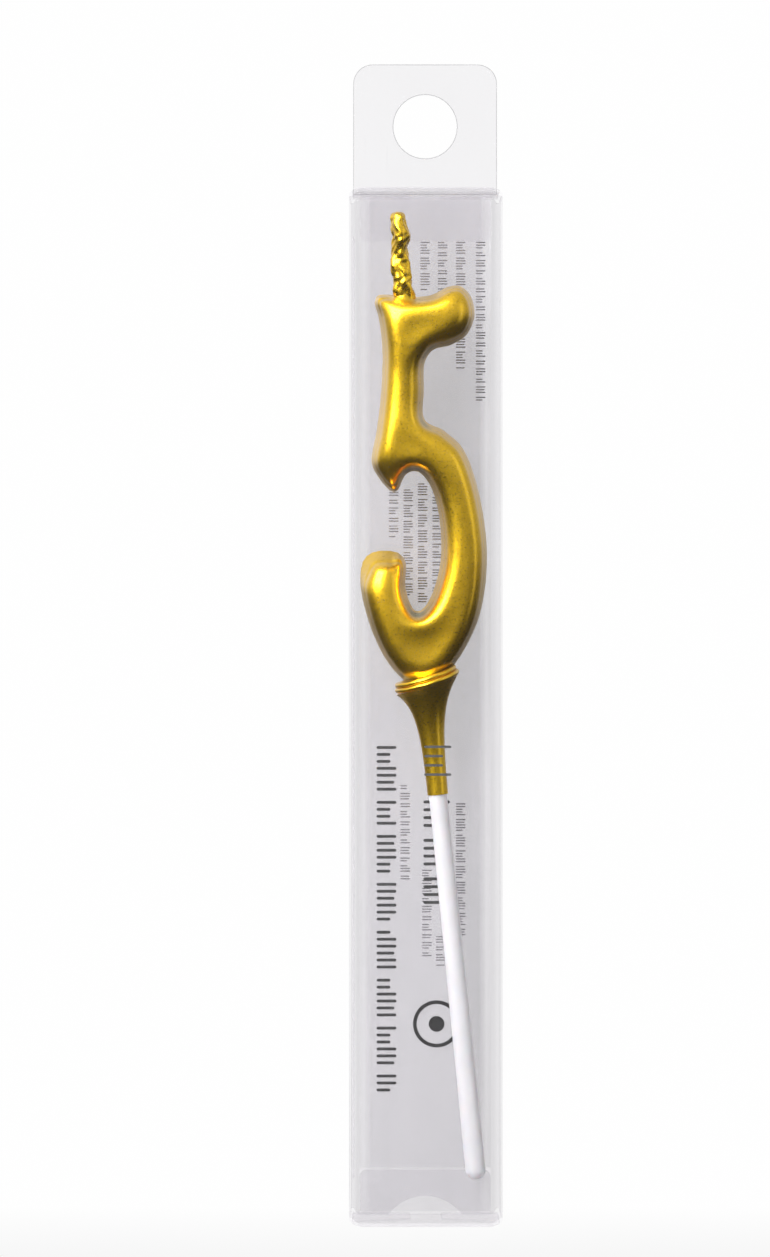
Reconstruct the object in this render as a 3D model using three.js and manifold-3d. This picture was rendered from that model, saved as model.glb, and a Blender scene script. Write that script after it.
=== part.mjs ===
// A gold number candle on a stick, inside the clear folded case that it is sold and hung in.
// Millimetres, +Z up. The origin is the middle of the case's underside, the front faces -Y.
import * as THREE from 'three';
import { mergeVertices } from 'three/addons/utils/BufferGeometryUtils.js';
import Module from 'manifold-3d';

const wasm = await Module();
wasm.setup();

// Candle
const NUMBER_WIDTH = 21.0;
const NUMBER_HEIGHT = 66.0;
const NUMBER_THICKNESS = 8.0;
const NUMBER_EDGE_INSET = 0.8;
const NUMBER_EDGE_DEPTH = 2.0;
const NUMBER_SEAT_DEPTH = 1.5;
const NUMBER_SHIFT = -0.45;
const COLLAR_RADIUS = 5.5;
const COLLAR_HEIGHT = 1.9;
const COLLAR_TILT = 12.3;
const COLLAR_X = 0.15;
const NECK_LENGTH = 19.0;
const NECK_END_RADIUS = 1.7;
const NECK_FLARE_DROP = 3.9;
const NECK_SHOULDER = 0.3;
const STICK_LENGTH = 63.9;
const STICK_TOP_DIAMETER = 2.95;
const STICK_END_DIAMETER = 3.3;
const SPIGOT_DIAMETER = 1.6;
const SPIGOT_IN_NUMBER = 6.0;
const STICK_LEAN = 5.73;
const STICK_PITCH = 1.9;
const WICK_DIAMETER = 3.0;
const WICK_LENGTH = 14.3;
const WICK_CORE_DIAMETER = 1.2;
const WICK_CORE_LENGTH = 20.0;
const WICK_LEAN = 3.9;
const WICK_LEFT_SHARE = 0.155;
const WICK_UP_SHARE = 0.965;

// Case
const SHEET = 0.3;
const SIDE_ROOM = 2.0;
const DEPTH_ROOM = 8.0;
const TOP_ROOM = 3.5;
const BOTTOM_ROOM = 6.2;
const TUCK_LENGTH = 6.9;
const TUCK_SIDE_ROOM = 1.65;
const TUCK_CORNER_RADIUS = 1.3;
const DUST_FLAP_LENGTH = 10.0;
const DUST_FLAP_TAPER = 0.35;
const DUST_FLAP_FRONT_ROOM = 1.2;
const DUST_FLAP_BACK_ROOM = 3.0;
const GLUE_FLAP_WIDTH = 5.0;
const GLUE_FLAP_END_ROOM = 0.9;
const THUMB_NOTCH_WIDTH = 12.0;
const THUMB_NOTCH_HEIGHT = 3.0;
const TAB_SIDE_ROOM = 0.6;
const TAB_HEIGHT = 21.9;
const TAB_CORNER_RADIUS = 3.2;
const TAB_HOLE_DIAMETER = 10.5;
const TAB_HOLE_HEIGHT = 11.6;

// Fits
const GAP = 0.3;
const TUCK_CLEARANCE = 0.45;
const FRONT_CLEARANCE = 0.8;
const BACK_CLEARANCE = 0.6;

// Worked out from the sizes above
const CASE_WIDTH = NUMBER_WIDTH + 2 * SIDE_ROOM;
const CASE_DEPTH = NUMBER_THICKNESS + DEPTH_ROOM;
const FACE = CASE_DEPTH / 2;
const SIDE = CASE_WIDTH / 2;
const COLLAR_Y = FACE - SHEET - COLLAR_RADIUS - BACK_CLEARANCE;
const lieForward = COLLAR_Y + FACE - SHEET - NUMBER_THICKNESS / 2 - FRONT_CLEARANCE;
const NUMBER_PITCH = THREE.MathUtils.radToDeg(Math.asin(lieForward / NUMBER_HEIGHT));
const stickLean = THREE.MathUtils.degToRad(STICK_LEAN);
const stickPitch = THREE.MathUtils.degToRad(STICK_PITCH);
const stickFoot = (NECK_LENGTH + STICK_LENGTH) * Math.cos(stickLean) * Math.cos(stickPitch);
const COLLAR_Z = BOTTOM_ROOM + stickFoot;
const wickFootUp = WICK_UP_SHARE * NUMBER_HEIGHT - NUMBER_SEAT_DEPTH;
const WICK_TOP_Z = COLLAR_Z + (wickFootUp + WICK_LENGTH) * Math.cos(THREE.MathUtils.degToRad(NUMBER_PITCH));
const CASE_HEIGHT = WICK_TOP_Z + TOP_ROOM;
const LID_Z = CASE_HEIGHT - SHEET;
const DUST_Z = LID_Z - GAP - SHEET;
const TUCK_BACK = FACE - SHEET - TUCK_CLEARANCE;

const clearFilm = () => new THREE.MeshStandardMaterial({
  color: 0xe9e7ee, roughness: 0.08, metalness: 0, transparent: true, opacity: 0.3, side: THREE.DoubleSide,
});
const goldLacquer = () => new THREE.MeshStandardMaterial({ color: 0xc79a1d, roughness: 0.34, metalness: 0.9 });
const goldWick = () => new THREE.MeshStandardMaterial({ color: 0xdcae2b, roughness: 0.28, metalness: 0.9 });
const whitePlastic = () => new THREE.MeshStandardMaterial({ color: 0xf6f5f6, roughness: 0.4, metalness: 0 });

function named(name, geometry, material) {
  const mesh = new THREE.Mesh(geometry, material);
  mesh.name = name;
  return mesh;
}

// Merged, position-only copy of a geometry, as a solid that can be cut.
function toSolid(geometry) {
  const bare = geometry.clone();
  bare.deleteAttribute('normal');
  bare.deleteAttribute('uv');
  const merged = mergeVertices(bare, 1e-4);
  return new wasm.Manifold(new wasm.Mesh({
    numProp: 3,
    vertProperties: new Float32Array(merged.attributes.position.array),
    triVerts: new Uint32Array(merged.index.array),
  }));
}

function toGeometry(solid) {
  const { vertProperties, triVerts } = solid.getMesh();
  const geometry = new THREE.BufferGeometry();
  geometry.setAttribute('position', new THREE.BufferAttribute(new Float32Array(vertProperties), 3));
  geometry.setIndex(new THREE.BufferAttribute(new Uint32Array(triVerts), 1));
  geometry.computeVertexNormals();
  return geometry;
}

function cut(geometry, ...tools) {
  let solid = toSolid(geometry);
  for (const tool of tools) {
    solid = solid.subtract(toSolid(tool));
  }
  return toGeometry(solid);
}

// A box between two corners.
function block(low, high) {
  const size = high.map((value, i) => value - low[i]);
  const geometry = new THREE.BoxGeometry(...size);
  geometry.translate(...high.map((value, i) => (value + low[i]) / 2));
  return geometry;
}

// A round rod along Z from `low` to `high`.
function rod(radiusLow, radiusHigh, low, high, sides = 24) {
  const geometry = new THREE.CylinderGeometry(radiusHigh, radiusLow, high - low, sides);
  geometry.rotateX(Math.PI / 2);
  geometry.translate(0, 0, (low + high) / 2);
  return geometry;
}

// A flat sheet whose outline is drawn in X and Z, with its front face at y.
function uprightSheet(outline, y) {
  const geometry = new THREE.ExtrudeGeometry(outline, { depth: SHEET, bevelEnabled: false, curveSegments: 24 });
  geometry.rotateX(Math.PI / 2);
  geometry.translate(0, y + SHEET, 0);
  return geometry;
}

// A flat sheet whose outline is drawn in X and Y, with its underside at z.
function levelSheet(outline, z) {
  const geometry = new THREE.ExtrudeGeometry(outline, { depth: SHEET, bevelEnabled: false });
  geometry.translate(0, 0, z);
  return geometry;
}

// Outline with its two corners at `far` rounded; `near` is the straight folded edge.
function roundedFlap(halfWidth, near, far, radius) {
  const way = Math.sign(far - near);
  const turn = far - way * radius;
  const outline = new THREE.Shape();
  outline.moveTo(-halfWidth, near);
  outline.lineTo(halfWidth, near);
  outline.lineTo(halfWidth, turn);
  outline.absarc(halfWidth - radius, turn, radius, 0, way * Math.PI / 2, way < 0);
  outline.absarc(-halfWidth + radius, turn, radius, way * Math.PI / 2, way * Math.PI, way < 0);
  outline.closePath();
  return outline;
}

// Closed curve through a numeral five. Each point is [across, up] as a share of its width and
// height, clockwise from the top left corner.
function numberOutline() {
  const points = [
    [0.13, 0.972], [0.22, 0.978], [0.39, 0.972], [0.56, 0.977], [0.70, 0.998], [0.80, 0.997],
    [0.885, 0.962], [0.90, 0.925], [0.85, 0.882], [0.72, 0.852], [0.56, 0.835], [0.505, 0.800],
    [0.505, 0.740], [0.50, 0.675], [0.66, 0.640], [0.82, 0.590], [0.915, 0.510], [0.975, 0.420],
    [1.0, 0.340], [0.99, 0.260], [0.94, 0.175], [0.81, 0.085], [0.66, 0.025], [0.545, 0.0],
    [0.43, 0.003], [0.31, 0.025], [0.17, 0.085], [0.055, 0.175], [0.0, 0.262], [0.012, 0.308],
    [0.075, 0.334], [0.20, 0.342], [0.31, 0.334], [0.365, 0.308], [0.36, 0.250], [0.43, 0.192],
    [0.52, 0.205], [0.60, 0.265], [0.635, 0.330], [0.62, 0.425], [0.56, 0.495], [0.46, 0.535],
    [0.36, 0.528], [0.30, 0.490], [0.25, 0.487], [0.15, 0.520], [0.09, 0.562], [0.13, 0.640],
    [0.165, 0.735], [0.175, 0.840], [0.145, 0.920], [0.115, 0.955],
  ];
  const curve = new THREE.CatmullRomCurve3(points.map(([across, up]) => new THREE.Vector3(
    (across - 0.5) * NUMBER_WIDTH, up * NUMBER_HEIGHT, 0)), true);
  const samples = curve.getPoints(2 * points.length).slice(0, -1).reverse();
  return new THREE.Shape(samples.map((point) => new THREE.Vector2(point.x, point.y)));
}

// The candle is drawn in its own frame, whose origin is the collar's centre. The numeral's middle
// is a little to the left of the axis of the neck and stick.
function number() {
  const geometry = new THREE.ExtrudeGeometry(numberOutline(), {
    depth: NUMBER_THICKNESS - 2 * NUMBER_EDGE_DEPTH,
    bevelThickness: NUMBER_EDGE_DEPTH,
    bevelSize: NUMBER_EDGE_INSET,
    bevelOffset: -NUMBER_EDGE_INSET,
    bevelSegments: 3,
  });
  geometry.translate(0, 0, -(NUMBER_THICKNESS / 2 - NUMBER_EDGE_DEPTH));
  geometry.rotateX(Math.PI / 2);
  geometry.translate(NUMBER_SHIFT, 0, -NUMBER_SEAT_DEPTH);
  const wickHole = wickFrame(rod(WICK_CORE_DIAMETER / 2 + GAP, WICK_CORE_DIAMETER / 2 + GAP,
    -WICK_CORE_LENGTH - GAP, 2 * GAP, 16));
  const spigotHole = stickFrame(rod(SPIGOT_DIAMETER / 2 + GAP, SPIGOT_DIAMETER / 2 + GAP,
    -COLLAR_HEIGHT, SPIGOT_IN_NUMBER + GAP, 16));
  const wide = 2 * COLLAR_RADIUS;
  const seat = collarFrame(block([-wide, -wide, -wide], [wide, wide, COLLAR_HEIGHT / 2 + GAP]));
  const wickSeat = wickFrame(rod(WICK_DIAMETER / 2 + GAP, WICK_DIAMETER / 2 + GAP, 0, WICK_LENGTH));
  return cut(geometry, wickHole, spigotHole, seat, wickSeat);
}

// Frames inside the candle: each moves a geometry drawn about its own Z axis to its place.
function wickFrame(geometry) {
  geometry.rotateY(-THREE.MathUtils.degToRad(WICK_LEAN));
  geometry.translate(NUMBER_SHIFT - WICK_LEFT_SHARE * NUMBER_WIDTH, 0, wickFootUp);
  return geometry;
}

function stickFrame(geometry) {
  geometry.rotateY(-stickLean);
  geometry.rotateX(THREE.MathUtils.degToRad(STICK_PITCH - NUMBER_PITCH));
  return geometry;
}

function collarFrame(geometry) {
  geometry.rotateY(-THREE.MathUtils.degToRad(COLLAR_TILT + STICK_LEAN));
  return geometry;
}

// Turned ring with two round beads, one above the other, on its rim.
function collar() {
  const bead = COLLAR_HEIGHT / 4;
  const bore = SPIGOT_DIAMETER / 2 + 2 * GAP;
  const profile = [new THREE.Vector2(bore, -COLLAR_HEIGHT / 2)];
  for (const centre of [-bead, bead]) {
    for (let step = 0; step <= 6; step += 1) {
      const angle = -Math.PI / 2 + step * Math.PI / 6;
      const out = COLLAR_RADIUS - bead + bead * Math.cos(angle);
      profile.push(new THREE.Vector2(out, centre + bead * Math.sin(angle)));
    }
  }
  profile.push(new THREE.Vector2(bore, COLLAR_HEIGHT / 2));
  profile.push(profile[0].clone());
  const geometry = new THREE.LatheGeometry(profile, 40);
  geometry.rotateX(Math.PI / 2);
  return collarFrame(geometry);
}

// Trumpet-shaped neck, hollow for the stick's spigot, its top cut to the tilt of the collar.
function neck() {
  const flare = COLLAR_RADIUS - NECK_END_RADIUS - NECK_SHOULDER;
  const profile = [];
  for (let step = 0; step <= 14; step += 1) {
    const share = step / 14;
    const drop = share * NECK_LENGTH;
    const out = NECK_END_RADIUS + flare * Math.exp(-drop / NECK_FLARE_DROP);
    profile.push(new THREE.Vector2(out, COLLAR_HEIGHT - drop));
  }
  const bore = SPIGOT_DIAMETER / 2 + GAP;
  profile.push(new THREE.Vector2(NECK_END_RADIUS, -NECK_LENGTH));
  profile.push(new THREE.Vector2(bore, -NECK_LENGTH));
  profile.push(new THREE.Vector2(bore, COLLAR_HEIGHT));
  profile.push(profile[0].clone());
  const body = new THREE.LatheGeometry(profile.reverse(), 32);
  body.rotateX(Math.PI / 2);
  const wide = 2 * COLLAR_RADIUS;
  const top = collarFrame(block([-wide, -wide, -COLLAR_HEIGHT / 2 - GAP], [wide, wide, wide]));
  return cut(stickFrame(body), top);
}

// Stick with a slim spigot that runs up through the neck into the numeral, and a domed foot.
function stick() {
  const top = -NECK_LENGTH - GAP;
  const foot = -NECK_LENGTH - STICK_LENGTH;
  const dome = STICK_END_DIAMETER / 2;
  const profile = [new THREE.Vector2(0, foot)];
  for (let step = 1; step <= 6; step += 1) {
    const angle = step * Math.PI / 12;
    profile.push(new THREE.Vector2(dome * Math.sin(angle), foot + dome - dome * Math.cos(angle)));
  }
  profile.push(new THREE.Vector2(STICK_TOP_DIAMETER / 2, top));
  profile.push(new THREE.Vector2(SPIGOT_DIAMETER / 2, top));
  profile.push(new THREE.Vector2(SPIGOT_DIAMETER / 2, SPIGOT_IN_NUMBER));
  profile.push(new THREE.Vector2(0, SPIGOT_IN_NUMBER));
  const geometry = new THREE.LatheGeometry(profile, 32);
  geometry.rotateX(Math.PI / 2);
  return stickFrame(geometry);
}

// Coated wick: a lumpy rod above the numeral and a thin core running down inside it.
function wick() {
  const profile = [new THREE.Vector2(0, -WICK_CORE_LENGTH)];
  profile.push(new THREE.Vector2(WICK_CORE_DIAMETER / 2, -WICK_CORE_LENGTH));
  profile.push(new THREE.Vector2(WICK_CORE_DIAMETER / 2, GAP));
  for (let step = 0; step <= 12; step += 1) {
    const lump = 0.92 + 0.08 * Math.cos(step * 2.1);
    profile.push(new THREE.Vector2(lump * WICK_DIAMETER / 2, GAP + step * (WICK_LENGTH - GAP) / 12));
  }
  profile.push(new THREE.Vector2(0, WICK_LENGTH));
  const geometry = new THREE.LatheGeometry(profile, 20);
  geometry.rotateX(Math.PI / 2);
  return wickFrame(geometry);
}

function candle() {
  const group = new THREE.Group();
  group.add(named('number_body', number(), goldLacquer()));
  group.add(named('collar_ring', collar(), goldLacquer()));
  group.add(named('flared_neck', neck(), goldLacquer()));
  group.add(named('stick', stick(), whitePlastic()));
  group.add(named('wick', wick(), goldWick()));
  group.position.set(COLLAR_X, COLLAR_Y, COLLAR_Z);
  group.rotation.x = THREE.MathUtils.degToRad(NUMBER_PITCH);
  return group;
}

// The four upright walls and the glued seam that closes them into a sleeve.
function sleeve() {
  const group = new THREE.Group();
  const wallLow = SHEET + GAP;
  const wallHigh = CASE_HEIGHT - SHEET - GAP;
  group.add(named('front_panel',
    block([-SIDE, -FACE, wallLow], [SIDE, -FACE + SHEET, wallHigh]), clearFilm()));
  const back = new THREE.Shape();
  const half = THUMB_NOTCH_WIDTH / 2;
  const radius = (half * half + THUMB_NOTCH_HEIGHT * THUMB_NOTCH_HEIGHT) / (2 * THUMB_NOTCH_HEIGHT);
  const middle = THUMB_NOTCH_HEIGHT - radius;
  const start = Math.asin(-middle / radius);
  back.moveTo(-SIDE, 0);
  back.lineTo(-half, 0);
  back.absarc(0, middle, radius, Math.PI - start, start, true);
  back.lineTo(SIDE, 0);
  back.lineTo(SIDE, CASE_HEIGHT);
  back.lineTo(-SIDE, CASE_HEIGHT);
  back.closePath();
  group.add(named('back_panel', uprightSheet(back, FACE - SHEET), clearFilm()));
  const sideLow = CASE_HEIGHT - DUST_Z + GAP;
  for (const [name, inner] of [['left_side_panel', -SIDE], ['right_side_panel', SIDE - SHEET]]) {
    group.add(named(name, block([inner, -FACE + SHEET + GAP, sideLow],
      [inner + SHEET, FACE - SHEET - GAP, DUST_Z - GAP]), clearFilm()));
  }
  const seam = -SIDE + SHEET + GAP;
  const seamLow = TUCK_LENGTH + GLUE_FLAP_END_ROOM;
  const seamFront = -FACE + SHEET + GAP;
  group.add(named('glue_flap', block([seam, seamFront, seamLow],
    [seam + SHEET, seamFront + GLUE_FLAP_WIDTH, CASE_HEIGHT - seamLow]), clearFilm()));
  return group;
}

function hangTab() {
  const outline = roundedFlap(SIDE - TAB_SIDE_ROOM, CASE_HEIGHT + GAP, CASE_HEIGHT + TAB_HEIGHT,
    TAB_CORNER_RADIUS);
  const hole = new THREE.Path();
  hole.absarc(0, CASE_HEIGHT + TAB_HOLE_HEIGHT, TAB_HOLE_DIAMETER / 2, 0, 2 * Math.PI, true);
  outline.holes.push(hole);
  return named('hang_tab', uprightSheet(outline, FACE - SHEET), clearFilm());
}

// One tuck end, drawn for the top: a lid, its tuck flap and two dust flaps under it.
function topEnd() {
  const lid = block([-SIDE, -FACE, LID_Z], [SIDE, TUCK_BACK, CASE_HEIGHT]);
  const tuckTop = LID_Z - GAP;
  const tuck = uprightSheet(roundedFlap(SIDE - TUCK_SIDE_ROOM, tuckTop, tuckTop - TUCK_LENGTH,
    TUCK_CORNER_RADIUS), TUCK_BACK - SHEET);
  const flaps = [-1, 1].map((way) => {
    const front = -FACE + DUST_FLAP_FRONT_ROOM;
    const rear = TUCK_BACK - SHEET - DUST_FLAP_BACK_ROOM;
    const tip = SIDE - DUST_FLAP_LENGTH;
    const outline = new THREE.Shape();
    outline.moveTo(way * SIDE, front);
    outline.lineTo(way * tip, front + DUST_FLAP_TAPER * DUST_FLAP_LENGTH);
    outline.lineTo(way * tip, rear - SHEET);
    outline.lineTo(way * SIDE, rear);
    outline.closePath();
    return levelSheet(outline, DUST_Z);
  });
  return [['lid', lid], ['tuck_flap', tuck], ['dust_flap_left', flaps[0]], ['dust_flap_right', flaps[1]]];
}

// The bottom end is the top end turned over: its heights are mirrored and its faces flipped back.
function turnedOver(geometry) {
  const solid = toGeometry(toSolid(geometry));
  solid.scale(1, 1, -1);
  solid.translate(0, 0, CASE_HEIGHT);
  const index = solid.index.array;
  for (let i = 0; i < index.length; i += 3) {
    [index[i], index[i + 1]] = [index[i + 1], index[i]];
  }
  solid.computeVertexNormals();
  return solid;
}

const part = new THREE.Group();
part.add(sleeve());
part.add(hangTab());
for (const [name, geometry] of topEnd()) {
  part.add(named(`top_${name}`, geometry, clearFilm()));
  part.add(named(`bottom_${name}`, turnedOver(geometry), clearFilm()));
}
part.add(candle());

export default part;
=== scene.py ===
"""Looks of a gold number candle on a stick, in the clear folded case that it is hung and sold in.

The case is one sheet of clear film, folded: a sleeve, two lids with tuck flaps and dust flaps, and
a hang tab. Each folded edge is a crease strip of its own, curved between the two pieces of film that
it joins. Sizes are in millimetres, and in metres in materials, lamps and the stage.
"""

import math

import bmesh
import bpy
import numpy as np
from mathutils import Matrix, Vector


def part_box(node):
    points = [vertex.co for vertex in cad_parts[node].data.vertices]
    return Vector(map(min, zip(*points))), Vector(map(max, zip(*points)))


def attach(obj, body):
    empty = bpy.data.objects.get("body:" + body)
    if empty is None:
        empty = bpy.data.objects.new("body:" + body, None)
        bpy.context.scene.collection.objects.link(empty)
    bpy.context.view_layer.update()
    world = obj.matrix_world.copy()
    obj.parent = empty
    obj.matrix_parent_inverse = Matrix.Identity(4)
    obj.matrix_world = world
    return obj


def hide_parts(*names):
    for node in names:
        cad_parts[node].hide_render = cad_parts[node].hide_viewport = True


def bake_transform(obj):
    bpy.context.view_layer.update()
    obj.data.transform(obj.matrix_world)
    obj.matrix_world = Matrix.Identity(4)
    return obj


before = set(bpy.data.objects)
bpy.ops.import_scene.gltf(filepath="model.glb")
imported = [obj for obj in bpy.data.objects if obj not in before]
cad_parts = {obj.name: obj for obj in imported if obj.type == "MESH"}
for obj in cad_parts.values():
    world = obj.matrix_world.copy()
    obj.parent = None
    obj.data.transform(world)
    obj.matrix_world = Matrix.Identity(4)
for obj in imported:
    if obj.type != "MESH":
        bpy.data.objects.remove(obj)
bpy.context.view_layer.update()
scene = bpy.context.scene

MM = 0.001

# Candle, in its own frame: the origin is the collar's centre, Z runs up the numeral
NUMBER_WIDTH = 21.0
NUMBER_HEIGHT = 66.0
NUMBER_THICKNESS = 8.0
NUMBER_SHIFT = -0.45
NUMBER_SEAT_DEPTH = 1.5
FRONT_CLEARANCE = 0.8
WALL_HEIGHT = 4.3
# How far in a wall leans over its height, and how much further at the bowl's free end
WALL_DRAFT = 0.6
END_DRAFT = 1.1
FACE_ROUNDNESS = 0.47
STROKE_HALF_WIDTH = 3.2
NUMBER_VOXEL = 0.25
# Where the bowl's free end is, as shares of the width from the middle and of the height
BOWL_END_ACROSS = -0.36
BOWL_END_UP = 0.34
# Where the extra draft there begins to fade and where it ends, to the sides and below; above, it stops
END_SIDES = (2.2, 3.8)
END_BELOW = (1.8, 6.5)
END_ABOVE = 2.0
FACE_STEEPNESS = 1.85
FACE_FLATTENING = 0.35
RIM_ROUNDING = 0.5
BACK_ROUNDING = 0.35
WICK_MOUND_SPAN = (-1.0, 1.1)
WICK_MOUND_RADIUS = 1.55
WICK_MOUND_TAPER = 0.3
WICK_MOUND_BLEND = 1.0
# How far round each point the painted shade in corners looks for solid, in mm
PAINTED_SHADE_REACH = 2.6
COLLAR_RADIUS = 5.5
COLLAR_HEIGHT = 1.9
BEAD_RADIUS = 0.4
UPPER_BEAD_INSET = 0.25
COLLAR_CORE_RADIUS = 0.9
NECK_LENGTH = 19.0
NECK_END_RADIUS = 1.7
NECK_FLARE = 3.5
NECK_FLARE_DROP = 3.9
NECK_ROUNDING = 0.12
NECK_CORE_RADIUS = 0.7
STICK_LENGTH = 63.9
STICK_INSIDE_NECK = 3.0
STICK_CORE_RADIUS = 0.4
STICK_TOP_RADIUS = 1.475
STICK_END_RADIUS = 1.65
STICK_LEAN = math.radians(5.73)
COLLAR_LEAN = STICK_LEAN + math.radians(12.3)
STICK_PITCH = math.radians(1.9)
WICK_RADIUS = 1.5
WICK_LENGTH = 14.3
WICK_SUNK = 1.2
WICK_LEAN = math.radians(3.9)
WICK_ACROSS = -0.155 * NUMBER_WIDTH
WICK_FOOT_UP = 0.965 * NUMBER_HEIGHT - NUMBER_SEAT_DEPTH

# Case
SHEET = 0.3
WALL_INSET = 0.02
CORNER_RADIUS = 2.2
CORNER_STEPS = 9
# Bands over which the film's density changes: by the side folds, and above the lower tuck flap
EDGE_BAND = 3.6
EDGE_FADE = 1.2
TUCK_FADE = 0.4
CUT_EDGE = 0.13
CREASE_RADIUS = 0.45
CREASE_LAP = 0.02
CREASE_SIDE_LAP = 0.05
NOTCH_HALF_WIDTH = 6.0
NOTCH_HEIGHT = 3.0
FLAP_CORNER_RADIUS = 1.3
SEAM_CORNER_RADIUS = 1.0
TUCK_BOW = 0.16
TUCK_BOW_WIDTH = 24.0
TUCK_BOW_RISE = 9.0
DUST_TAPER_SHARE = 0.35
DUST_TIP_ROOM = 0.3
LID_CORNER_RADIUS = 1.8
LID_INSET = 0.45
LID_CURL = 0.22
LID_CURL_BAND = 1.6
LID_BOW = 0.06
LID_BOW_WIDTH = 25.0
TAB_CORNER_RADIUS = 3.2
TAB_HOLE_RADIUS = 5.25
TAB_HOLE_HEIGHT = 11.6
TAB_BOW = 0.1
INK = 0.03
INK_LIFT = 0.004
ROUNDEL_X = 1.9
ROUNDEL_Z = 31.5
# Inner and outer radius of the ring and of the dot
ROUNDEL_BANDS = ((3.3, 3.9), (0.02, 1.3))
# The gap between two groups of strokes beyond their pitch, as a share of it
WORD_GAP = 0.9
# Each kind of stroke as the share of its line's width where it begins and ends
STROKE_KINDS = ((0, 1), (0, 0.7), (0, 0.9), (0, 0.45), (0, 0.8), (0, 1), (0, 0.6))

# Camera and backdrop
CAMERA_X = -6.64
CAMERA_Z = 96.96
CAMERA_DISTANCE = 700.0
CAMERA_LENS = 123.8
# In metres
FLOOR_HALF = 12.0
FLOOR_DROP = 0.0004


def box_mm(node):
    """A CAD node's lowest and highest corners, in millimetres."""
    low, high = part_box(node)
    return np.array(low) / MM, np.array(high) / MM


FRONT_HIGH = box_mm("front_panel")[1]
BACK_HIGH = box_mm("back_panel")[1]
SIDE_HIGH = box_mm("left_side_panel")[1]
LID_LOW, LID_HIGH = box_mm("top_lid")
TUCK_LOW, TUCK_HIGH = box_mm("top_tuck_flap")
DUST_LOW, DUST_HIGH = box_mm("top_dust_flap_left")
TAB_LOW, TAB_HIGH = box_mm("hang_tab")
GLUE_LOW, GLUE_HIGH = box_mm("glue_flap")
CASE_HEIGHT = LID_HIGH[2]
TUCK_LENGTH = CASE_HEIGHT - TUCK_LOW[2]
HALF_WIDTH = BACK_HIGH[0]
HALF_DEPTH = BACK_HIGH[1]
WALL_MIDDLE = HALF_DEPTH - SHEET / 2
INNER_WALL = HALF_DEPTH - SHEET
COLLAR_CENTRE = np.add(*box_mm("collar_ring")) / 2


# ---------------------------------------------------------------- small tools


def smoothstep(low, high, value):
    """Eases from 0 at low to 1 at high."""
    share = np.clip((value - low) / (high - low), 0, 1)
    return share * share * (3 - 2 * share)


def smooth_min(a, b, reach):
    """The lower of two fields, blended where they differ by less than reach."""
    blend = np.clip(0.5 + 0.5 * (b - a) / reach, 0, 1)
    return b * (1 - blend) + a * blend - reach * blend * (1 - blend)


def smooth_max(a, b, reach):
    return -smooth_min(-a, -b, reach)


def turn_x(angle):
    c, s = math.cos(angle), math.sin(angle)
    return np.array([[1, 0, 0], [0, c, -s], [0, s, c]])


def turn_y(angle):
    c, s = math.cos(angle), math.sin(angle)
    return np.array([[c, 0, s], [0, 1, 0], [-s, 0, c]])


LEAN_FORWARD = COLLAR_CENTRE[1] - FRONT_HIGH[1] - NUMBER_THICKNESS / 2 - FRONT_CLEARANCE
NUMBER_PITCH = math.asin(LEAN_FORWARD / NUMBER_HEIGHT)
CANDLE = turn_x(NUMBER_PITCH)
STICK = CANDLE @ turn_x(STICK_PITCH - NUMBER_PITCH) @ turn_y(-STICK_LEAN)
COLLAR = CANDLE @ turn_y(-COLLAR_LEAN)
WICK = CANDLE @ turn_y(-WICK_LEAN)
WICK_FOOT = COLLAR_CENTRE + CANDLE @ np.array([NUMBER_SHIFT + WICK_ACROSS, 0, WICK_FOOT_UP])


def placed(points, turn, origin):
    """Points turned about the origin of their own frame, then moved to origin."""
    return np.asarray(points) @ turn.T + origin


def add_object(name, data):
    made = bpy.data.objects.new(name, data)
    scene.collection.objects.link(made)
    return made


def add_piece(name, points, faces, materials, edge_faces=(), back_faces=(), sharp=40):
    """Mesh object from points in mm. edge_faces get the second material, back_faces the third."""
    mesh = bpy.data.meshes.new(name)
    mesh.from_pydata((np.asarray(points) * MM).tolist(), [], [list(map(int, f)) for f in faces])
    for material in materials:
        mesh.materials.append(material)
    for face in edge_faces:
        mesh.polygons[face].material_index = 1
    for face in back_faces:
        mesh.polygons[face].material_index = 2
    work = bmesh.new()
    work.from_mesh(mesh)
    bmesh.ops.recalc_face_normals(work, faces=work.faces)
    work.to_mesh(mesh)
    work.free()
    mesh.shade_smooth()
    mesh.set_sharp_from_angle(angle=math.radians(sharp))
    return add_object(name, mesh)


def round_angles(count):
    return np.arange(count) * 2 * math.pi / count


def ring_quads(a, b, count):
    """Quads between two closed rings of count points, whose first points are a and b."""
    return [[a + i, a + (i + 1) % count, b + (i + 1) % count, b + i] for i in range(count)]


def tube_faces(rows, sides):
    """Faces of a closed tube with the given number of rows of faces, and a cap at each end."""
    faces = []
    for row in range(rows):
        faces += ring_quads(row * sides, (row + 1) * sides, sides)
    faces.append(list(range(sides)))
    faces.append([rows * sides + i for i in range(sides)])
    return faces


def turned(profile, sides, wobble):
    """Points and faces of a closed turned shape. profile is (radius, height) from pole to pole."""
    angles = round_angles(sides)
    rows = []
    for radius, height in profile:
        r = np.full(sides, radius)
        z = np.full(sides, height)
        r, z = wobble(r, z, angles)
        rows.append(np.stack([r * np.cos(angles), r * np.sin(angles), z], 1))
    return np.concatenate(rows), tube_faces(len(profile) - 1, sides)


# ---------------------------------------------------------------- materials


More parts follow.
